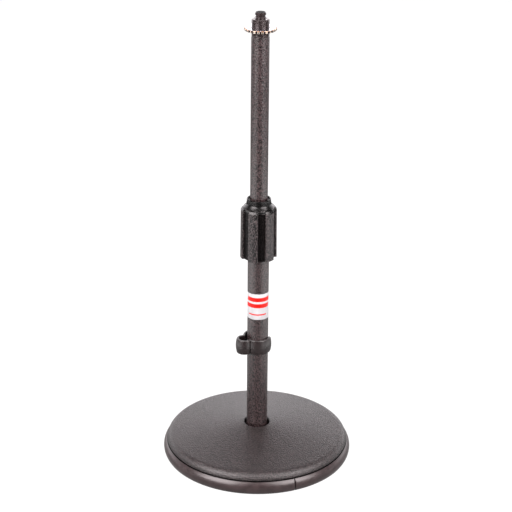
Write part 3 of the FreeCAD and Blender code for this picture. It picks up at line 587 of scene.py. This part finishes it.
def foot_pads():
    """Four round stick-on pads, tapered towards the sole."""
    for i in range(1, 5):
        node = f"foot_pad_{i}"
        low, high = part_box(node)
        centre = ((low.x + high.x) / 2, (low.y + high.y) / 2)
        radius = (high.x - low.x) / 2 / MM
        tall = high.z / MM
        outline = rounded([(0, 0, 0), (radius - 0.3, 0, 0.5), (radius, tall, 0.1), (0, tall, 0)], closed=False)
        bm = lathe(bmesh.new(), in_metres(outline), full_turn(64), centre=centre)
        make_piece(f"foot_{i}", bm, FEET, "stand", [node])


def base_fixings():
    """The bolt's head, its split spring washer and the flat washer, up inside the boss."""
    for node, split in (("base_flat_washer", False), ("base_spring_washer", True)):
        low, high, outer = bottom(node) / MM, top(node) / MM, reach(node) / MM
        hole = 5.3
        corners = [(hole, low, 0.2), (outer, low, 0.3), (outer, high, 0.3), (hole, high, 0.2)]
        outline = in_metres(rounded(corners, steps=3))
        gap = 1.2 / outer if split else 0.0
        angles = part_turn(gap / 2, TAU - gap, 96) if split else full_turn(96)
        bm = lathe(bmesh.new(), outline, angles, closed=not split)
        make_piece(node.replace("base_", "bolt_"), bm, ZINC, "stand", [node])
    low, high = bottom("base_bolt") / MM, top("base_bolt") / MM
    head_top = bottom("base_spring_washer") / MM
    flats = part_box("base_bolt")[1].y / MM

    def hexagon(r, z, a):
        face = (a + TAU / 12) % (TAU / 6) - TAU / 12
        limit = flats * MM / math.cos(face)
        return (min(r, limit), z) if z < head_top * MM + 1e-6 else (r, z)

    corner, shank, tip = flats / math.cos(TAU / 12), 4.9, 4.0
    corners = [(0, low, 0), (flats - 0.6, low, 0.3), (corner, low + 1.1, 0.2), (corner, head_top, 0.1)]
    corners += [(shank, head_top, 0.1), (shank, high - 1, 0.2), (tip, high, 0.2), (0, high, 0)]
    angles = [a + TAU / 12 for a in full_turn(120)]
    bm = lathe(bmesh.new(), in_metres(rounded(corners, 3, False)), angles, shape=hexagon)
    make_piece("bolt", bm, ZINC, "stand", ["base_bolt"])


# ---- tubes ----


def tube_piece(name, node, bore, body):
    """A tube with that bore in millimetres and eased ends."""
    chamfer = 0.45
    low, high, outer = bottom(node) / MM, top(node) / MM, reach(node) / MM
    corners = [(bore, low, 0.1), (outer - chamfer, low, 0.15), (outer, low + chamfer, 0.2)]
    corners += [(outer, high - chamfer, 0.25), (outer - chamfer, high, 0.2)]
    corners += [(bore + 0.2, high, 0.1), (bore, high - 0.2, 0.1)]
    return turned_piece(name, in_metres(rounded(corners, steps=3)), TUBE_COAT, body, [node])


def label():
    """The vinyl wrapped round the tube, with its ends a few degrees apart at the back."""
    low, high, outer = bottom("label") / MM, top("label") / MM, reach("label")
    film, half_gap = 0.07, math.radians(4)
    inside = outer / MM - film
    corners = [(inside, low, 0), (inside + film, low, 0.02), (inside + film, high, 0.02), (inside, high, 0)]
    angles = part_turn(math.pi / 2 + half_gap, TAU - 2 * half_gap, 128)
    bm = lathe(bmesh.new(), in_metres(rounded(corners, steps=2)), angles, closed=False)
    return make_piece("label_wrap", bm, LABEL, "stand", ["label"])


def circle_meeting(c0, r0, c1, r1, side):
    """Where two circles in the plane meet; side picks one of the two points."""
    gap = Vector(c1) - Vector(c0)
    along = (r0 * r0 - r1 * r1 + gap.length_squared) / (2 * gap.length)
    height = math.sqrt(max(0.0, r0 * r0 - along * along))
    unit = gap.normalized()
    return Vector(c0) + unit * along + Vector((-unit.y, unit.x)) * height * side


def turn_points(centre, radius, start, end, steps):
    """Points round a circle from one point's direction to another's, counter-clockwise if end is the larger."""
    return [Vector(centre) + Vector((math.cos(a), math.sin(a))) * radius
            for a in (start + (end - start) * i / steps for i in range(steps + 1))]


def direction(centre, point):
    """The angle at which the point lies from the centre."""
    offset = Vector(point) - Vector(centre)
    return math.atan2(offset.y, offset.x)


def clip_section(low, high):
    """Levels of the clip's wall as (height, how far the outer face draws in, how far the inner face draws
    back): barrelled outside with a fine mould line at mid-height, and softened corners."""
    corner, barrel, line = 0.4, 0.95, 0.05
    steps = [0.0, 0.006, 0.018, 0.036, 0.06, 0.1, 0.16, 0.24, 0.33, 0.42, 0.48, 0.492]
    steps = steps + [0.5] + [1 - t for t in reversed(steps)]
    section = []
    for t in steps:
        z = low + (high - low) * t
        depth = max(0.0, corner - min(z - low, high - z))
        ease = corner - math.sqrt(corner**2 - depth**2)
        groove = line if t == 0.5 else 0.0
        section.append((z, barrel * (2 * t - 1) ** 2 + ease + groove, ease))
    return section


def end_cap(first, last, away, steps):
    """Points of a rounded end between two corners, bulging in the given direction, the corners left out."""
    middle, half = (first + last) / 2, (first - last) / 2
    return [middle + half * math.cos(math.pi * i / steps) + away * half.length * math.sin(math.pi * i / steps)
            for i in range(1, steps)]


def cable_clip():
    """One moulded strip, barrelled outside: a band round the tube's front, the hook for the cable, and an arm
    that leaves the hook's back and curls in to the tube's back."""
    low, high = bottom("cable_clip") / MM, top("cable_clip") / MM
    tube_centre, hook_centre, arm_centre = (0.0, 0.0), (-12.2, -5.0), (0.1, 2.35)
    bore, band, hook_bore, hook_band, arm_bore, arm_band, tip_bore = 9.8, 3.1, 5.2, 2.8, 11.9, 2.0, 3.6
    ring_end, bend, tip_end = math.radians(-8), math.radians(115), math.radians(-1)
    inward = Vector((math.cos(bend), math.sin(bend))) * (arm_bore - tip_bore)
    tip_centre = Vector(arm_centre) + inward
    ring_steps, hook_steps, arm_steps, tip_steps, cap_steps = 40, 64, 24, 24, 6
    crease_depth = 0.94
    bm = bmesh.new()
    levels_made = []
    for z, draw_in, ease in clip_section(low, high):
        ring_out, ring_in = bore + band - draw_in, bore + ease
        hook_out, hook_in = hook_bore + hook_band - draw_in, hook_bore + ease
        arm_out, arm_in = arm_bore + arm_band - draw_in / 2, arm_bore + ease
        crease = circle_meeting(tube_centre, ring_out, hook_centre, hook_out, 1)
        nook = circle_meeting(tube_centre, ring_in, hook_centre, hook_in, 1)
        fork = circle_meeting(hook_centre, hook_out, arm_centre, arm_out, 1)
        elbow = circle_meeting(hook_centre, hook_in, arm_centre, arm_in, 1)
        outer = turn_points(tube_centre, ring_out, ring_end, direction(tube_centre, crease), ring_steps)
        outer[-1] = crease * crease_depth
        outer += turn_points(hook_centre, hook_out, direction(hook_centre, crease),
                             direction(hook_centre, fork) - TAU, hook_steps)[1:]
        outer += turn_points(arm_centre, arm_out, direction(arm_centre, fork) % TAU, bend, arm_steps)[1:]
        outer += turn_points(tip_centre, arm_out - arm_bore + tip_bore, bend, tip_end, tip_steps)[1:]
        inner = turn_points(tube_centre, ring_in, ring_end, direction(tube_centre, nook), ring_steps)
        inner += turn_points(hook_centre, hook_in, direction(hook_centre, nook),
                             direction(hook_centre, elbow) - TAU, hook_steps)[1:]
        inner += turn_points(arm_centre, arm_in, direction(arm_centre, elbow) % TAU, bend, arm_steps)[1:]
        inner += turn_points(tip_centre, arm_in - arm_bore + tip_bore, bend, tip_end, tip_steps)[1:]
        tip_away = Vector((math.sin(tip_end), -math.cos(tip_end)))
        ring_away = Vector((-math.sin(ring_end), math.cos(ring_end)))
        tip = end_cap(outer[-1], inner[-1], tip_away * 0.15, cap_steps)
        tail = end_cap(inner[0], outer[0], ring_away * 0.4, cap_steps)
        loop = outer + tip + list(reversed(inner)) + tail
        levels_made.append([bm.verts.new((p.x * MM, p.y * MM, z * MM)) for p in loop])
    count = len(levels_made[0])
    for lower, upper in zip(levels_made, levels_made[1:]):
        for j in range(count):
            k = (j + 1) % count
            bm.faces.new((lower[j], lower[k], upper[k], upper[j]))
    strip = ring_steps + hook_steps + arm_steps + tip_steps
    inner_start, inner_end = strip + cap_steps, 2 * strip + cap_steps + 1
    for loop, flip in ((levels_made[0], True), (levels_made[-1], False)):
        outer, tip_points = loop[:strip + 1], loop[strip + 1:inner_start]
        inner, tail_points = list(reversed(loop[inner_start:inner_end])), loop[inner_end:]
        faces = [(outer[i], outer[i + 1], inner[i + 1], inner[i]) for i in range(strip)]
        faces.append([outer[-1], *tip_points, inner[-1]])
        faces.append([inner[0], *tail_points, outer[0]])
        for face in faces:
            bm.faces.new(list(reversed(face)) if flip else face)
    return make_piece("clip", bm, CLIP, "cable_clip", ["cable_clip"], sharp_degrees=40)


# ---- clutch ----


def clutch_grip():
    """Neck and lip, conical shoulder, and six broad ribs with flat-bottomed grooves between them."""
    low, high = bottom("clutch_grip") / MM, top("clutch_grip") / MM
    rib_top, cone_low, cone_high, lip = high - 10.4, high - 8.3, high - 5.4, high - 1.6
    groove, groove_half, wall_half = 14.2, 13.25, 1.1
    first_groove, ribs = -79.4, 6
    mouth, cavity, skirt = 8.95, 11.0, 12.2
    corners = [(skirt, low, 0.3), (16.6, low, 0.55), (16.45, low + 12, 0), (16.3, low + 30, 0)]
    corners += [(16.2, rib_top, 0.5), (14.85, cone_low, 0.7), (13.4, cone_low + 0.85, 1.0)]
    corners += [(11.35, cone_high + 0.3, 2.6), (10.85, lip, 0.2), (10.98, lip + 0.4, 0.15)]
    corners += [(10.9, high - 0.4, 0.25), (10.3, high, 0.25), (9.8, high - 0.05, 0.2), (mouth, high - 2.2, 0.4)]
    corners += [(mouth, high - 10.2, 0.1), (cavity, high - 10.2, 0.1), (cavity, high - 14.6, 0.2)]
    corners += [(skirt, high - 16.2, 0.2)]
    offsets = [0, 4, 8, 10.5, 11.8, 12.5, 13.0, 13.5, 14.0, 14.6, 15.4, 17, 20, 23.5, 27]
    offsets = [-x for x in reversed(offsets[1:])] + offsets + [30]
    angles = [math.radians(first_groove + 360 / ribs * i + x) for i in range(ribs) for x in offsets]

    def shape(r, z, a):
        t = (math.degrees(a) - first_groove + 180 / ribs) % (360 / ribs) - 180 / ribs
        edge = min(1.0, max(0.0, (groove_half + wall_half - abs(t)) / (2 * wall_half)))
        cut = edge * edge * (3 - 2 * edge)
        if r > groove * MM:
            r += (groove * MM - r) * cut
        return r, z

    outline = in_metres(rounded(corners, steps=6))
    bm = lathe(bmesh.new(), outline, angles, shape=shape)
    return make_piece("grip", bm, GRIP, "grip", ["clutch_grip"], sharp_degrees=50)


# ---- microphone end ----


def lock_ring():
    """A thin nut with rounded lobes round its edge."""
    low, high, outer = bottom("lock_ring") / MM, top("lock_ring") / MM, 14.2
    lobes, cutter, cutter_circle = 24, 1.3, 14.78
    flat_radius, blend = 11.5, 1.4
    corners = [(8.0, low + 0.3, 0.1), (8.3, low, 0.1), (outer, low, 0.75), (outer, high, 0.75)]
    corners += [(8.3, high, 0.1), (8.0, high - 0.3, 0.1)]
    offsets = [-7.5, -6.3, -5.6, -5.1, -4.4, -3.5, -2.4, -1.2, 0, 1.2, 2.4, 3.5, 4.4, 5.1, 5.6, 6.3]
    angles = [math.radians(360 / lobes * i + x) for i in range(lobes) for x in offsets]

    def shape(r, z, a):
        t = (a + math.pi / lobes) % (TAU / lobes) - math.pi / lobes
        inside = (cutter * MM) ** 2 - (cutter_circle * MM * math.sin(t)) ** 2
        edge = cutter_circle * MM * math.cos(t) - math.sqrt(inside) if inside > 0 else outer * MM
        drop = outer * MM - min(outer * MM, edge)
        share = min(1.0, max(0.0, (r - flat_radius * MM) / (blend * MM)))
        return r - drop * share, z

    bm = lathe(bmesh.new(), in_metres(rounded(corners, steps=7)), angles, shape=shape)
    return make_piece("jam_ring", bm, RING, "lock_ring", ["lock_ring"], sharp_degrees=45)


def thread_adapter():
    """The sleeve with the 5/8 inch-27 thread, cut as a helix."""
    low, high = bottom("thread_adapter"), top("thread_adapter")
    crest, bore, pitch, chamfer = 7.94 * MM, 4.66 * MM, 25.4 / 27 * MM, 0.8 * MM
    outer = [(min(crest, crest - chamfer + (high - z), crest - 0.3 * MM + (z - low)), z)
             for z in levels(low, high, pitch / 14)]
    outline = [(bore, low)] + outer + [(bore + 0.4 * MM, high), (bore, high - 0.4 * MM)]
    shape = thread_shape(crest, 0.48 * MM, pitch, low + 0.2 * MM, high - 0.25 * MM)
    return turned_piece("adapter", outline, BLACK, "mast", ["thread_adapter"], 144, shape, 60)


def stud():
    """The 3/8 inch-16 stud: its last thread stands clear of the adapter, under a relief groove and a collar."""
    low, high = bottom("stud"), top("stud")
    shoulder, plug_end = top("thread_adapter"), bottom("thread_adapter") - 0.2 * MM
    plug, core, crest, relief, pitch = reach("stud"), 4.6 * MM, 4.72 * MM, 4.05 * MM, 25.4 / 16 * MM
    thread_end, collar = shoulder + 2.1 * MM, high - 2.2 * MM
    lower = [(0, low), (plug - 0.5 * MM, low), (plug, low + 0.5 * MM), (plug, plug_end)]
    lower += [(core, plug_end), (core, shoulder - 1.0 * MM)]
    thread = [(crest, z) for z in levels(shoulder - 0.8 * MM, thread_end, pitch / 16)]
    head = rounded([(relief / MM, thread_end / MM + 0.4, 0.3), (relief / MM, collar / MM - 0.35, 0.3),
                    (crest / MM, collar / MM, 0.3), (crest / MM, high / MM - 0.5, 0.2),
                    (4.25, high / MM, 0.2), (0, high / MM, 0)], closed=False)
    outline = lower + thread + in_metres(head)
    shape = thread_shape(crest, 0.55 * MM, pitch, shoulder - 1.2 * MM, thread_end + 0.1 * MM, 0.4)
    return turned_piece("top_stud", outline, BLACK, "mast", ["stud"], 96, shape, 50)


def hidden_nodes():
    """What works inside keeps its CAD shape and gets its own finish."""
    crease_degrees = 30
    finishes = {"foot_insert": ZINC, "clutch_sleeve": ALLOY, "clutch_collet": NYLON,
                "clutch_thrust_ring": NYLON, "clutch_grip_nut": BRASS, "guide_bush": NYLON,
                "guide_plug": ZINC, "guide_retainer": ZINC}
    for node, material in finishes.items():
        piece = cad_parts[node]
        piece.data.materials.clear()
        piece.data.materials.append(material)
        for polygon in piece.data.polygons:
            polygon.material_index = 0
            polygon.use_smooth = True
        piece.data.set_sharp_from_angle(angle=math.radians(crease_degrees))


# ---- studio ----


def floor():
    """An even, pale floor that only the camera sees: the bounce card stands in for it in reflections."""
    n = Nodes("studio_floor")
    material = n.finish((0.1, 0.1, 0.1, 1), 0.8, Specular_IOR_Level=0.0, Emission_Color=(1, 1, 1, 1),
                        Emission_Strength=0.93)
    bm = bmesh.new()
    bmesh.ops.create_grid(bm, x_segments=8, y_segments=8, size=6.0)
    mesh = bpy.data.meshes.new("studio_floor")
    bm.to_mesh(mesh)
    bm.free()
    mesh.materials.append(material)
    plane = bpy.data.objects.new("studio_floor", mesh)
    bpy.context.scene.collection.objects.link(plane)
    plane.visible_glossy = False
    plane.visible_diffuse = False


def bounce_card():
    """A glowing sheet just under the floor that stands in for the lit table top: only bounced and reflected
    rays meet it. Its glow is painted, as a pool of light, brightest to the front left and front right, where
    the softboxes would light the table, and fades out between half a metre and a metre, as a table ends."""
    lit_glow, plain_glow = 3.4, 0.6
    fade_start, fade_end, faded = 0.45, 1.05, 0.15
    n = Nodes("bounce_card")
    right, front = n.axis("X"), n.math("MULTIPLY", n.axis("Y"), -1.0)
    side = n.math("ARCTAN2", n.math("ABSOLUTE", right), front)
    far = n.radius()
    # Painted pool of light: the glow is raised where the softboxes would light a table.
    lit = n.math("MULTIPLY", n.span(side, 0.35, 0.85), n.span(side, 1.4, 2.4, 1.0, 0.0))
    lit = n.math("MULTIPLY", lit, n.span(far, 0.15, 0.45))
    glow = n.math("ADD", n.math("MULTIPLY", lit, lit_glow), plain_glow)
    glow = n.math("MULTIPLY", glow, n.span(far, fade_start, fade_end, 1.0, faded))
    material = n.finish((0.0, 0.0, 0.0, 1), 1.0, Specular_IOR_Level=0.0, Emission_Color=(1, 1, 1, 1),
                        Emission_Strength=glow)
    bm = bmesh.new()
    bmesh.ops.create_circle(bm, cap_ends=True, segments=64, radius=2.0)
    mesh = bpy.data.meshes.new("bounce_card")
    bm.to_mesh(mesh)
    bm.free()
    mesh.materials.append(material)
    card = bpy.data.objects.new("bounce_card", mesh)
    card.location.z = -0.002
    card.visible_camera = False
    bpy.context.scene.collection.objects.link(card)


def softbox(name, place, target, width, height, power):
    """A rectangular light of that size in metres and power in watts, a touch warm, turned to the target."""
    data = bpy.data.lights.new(name, "AREA")
    data.shape = "RECTANGLE"
    data.size, data.size_y, data.energy = width, height, power
    data.color = (1.0, 0.93, 0.935)
    light = bpy.data.objects.new(name, data)
    light.location = place
    light.rotation_euler = (Vector(target) - Vector(place)).to_track_quat("-Z", "Y").to_euler()
    bpy.context.scene.collection.objects.link(light)


def studio_air():
    """The room round the stand: a pale backdrop low behind it, and dimmer everywhere else."""
    dim, pale = 0.08, 2.9
    world = bpy.data.worlds.new("studio")
    world.use_nodes = True
    tree = world.node_tree
    place = tree.nodes.new("ShaderNodeTexCoord").outputs["Generated"]
    parts = tree.nodes.new("ShaderNodeSeparateXYZ")
    tree.links.new(place, parts.inputs[0])

    def ramp(value, low, high, out_low, out_high):
        node = tree.nodes.new("ShaderNodeMapRange")
        node.interpolation_type = "SMOOTHSTEP"
        tree.links.new(value, node.inputs["Value"])
        for name, number in (("From Min", low), ("From Max", high), ("To Min", out_low), ("To Max", out_high)):
            node.inputs[name].default_value = number
        return node.outputs["Result"]

    behind = ramp(parts.outputs["Y"], -0.1, 0.7, 0.0, 1.0)
    under = ramp(parts.outputs["Z"], 0.1, 0.78, 1.0, 0.0)
    product = tree.nodes.new("ShaderNodeMath")
    product.operation = "MULTIPLY"
    tree.links.new(behind, product.inputs[0])
    tree.links.new(under, product.inputs[1])
    strength = ramp(product.outputs[0], 0.0, 1.0, dim, pale)
    tree.links.new(strength, tree.nodes["Background"].inputs["Strength"])
    tree.nodes["Background"].inputs["Color"].default_value = (1.0, 0.96, 0.985, 1)
    return world


def studio():
    """The floor, the room and three softboxes."""
    floor()
    bounce_card()
    bpy.context.scene.world = studio_air()
    middle = (0, 0, 0.2)
    softbox("left_softbox", (-1.05, -0.95, 1.0), middle, 1.2, 1.4, 70.0)
    softbox("right_softbox", (1.05, -0.95, 1.0), middle, 1.2, 1.4, 63.0)
    softbox("top_softbox", (0, 0.3, 1.8), middle, 0.9, 0.9, 8.0)
    view = bpy.context.scene.view_settings
    view.view_transform = "Standard"


def camera():
    """A 122 mm lens, 1.44 m in front and 0.82 m up, looking down by 23 degrees, rolled by half a degree."""
    distance, height, pitch, pan, roll = 1.44265, 0.81696, 0.40454, 0.00151, 0.00873
    data = bpy.data.cameras.new("camera")
    data.sensor_width, data.lens = 36.0, 121.7
    data.clip_start, data.clip_end = 0.05, 50.0
    eye = bpy.data.objects.new("camera", data)
    forward = Vector((-math.sin(pan) * math.cos(pitch), math.cos(pan) * math.cos(pitch), -math.sin(pitch)))
    turn = forward.to_track_quat("-Z", "Y").to_matrix() @ Matrix.Rotation(roll, 3, "Z")
    eye.matrix_world = Matrix.Translation((0, -distance, height)) @ turn.to_4x4()
    bpy.context.scene.collection.objects.link(eye)
    bpy.context.scene.camera = eye


camera()
studio()
base_casting()
edge_bumper()
foot_pads()
base_fixings()
tube_piece("tube_lower", "lower_tube", 8.3, "stand")
label()
cable_clip()
clutch_grip()
tube_piece("tube_upper", "upper_tube", 6.75, "mast")
stud()
thread_adapter()
lock_ring()
hidden_nodes()
